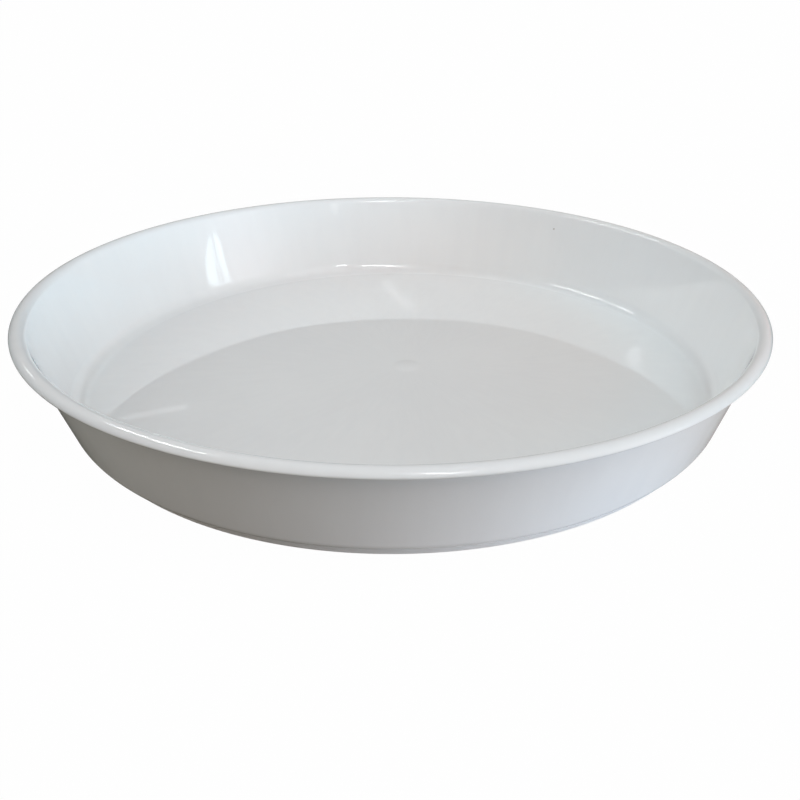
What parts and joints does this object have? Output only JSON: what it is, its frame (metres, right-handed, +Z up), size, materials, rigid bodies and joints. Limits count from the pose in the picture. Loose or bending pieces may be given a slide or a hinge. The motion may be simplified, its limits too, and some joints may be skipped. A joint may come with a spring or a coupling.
{
  "type": "plant saucer",
  "caption": "Round one-piece plastic saucer for a plant pot, with a flared wall, a rolled rim, a flat floor and a foot ring.",
  "frame": {"origin": "centre of the foot ring's lower face, on the table", "axes": "+Z up along the saucer's axis; X and Y lie in the table, and the ribs under the floor start along +X"},
  "size_m": [0.3, 0.3, 0.0425],
  "materials": {
    "white_plastic": "smooth gloss, slightly translucent polypropylene"
  },
  "bodies": {
    "root": {"saucer": "white_plastic"}
  },
  "joints": []
}
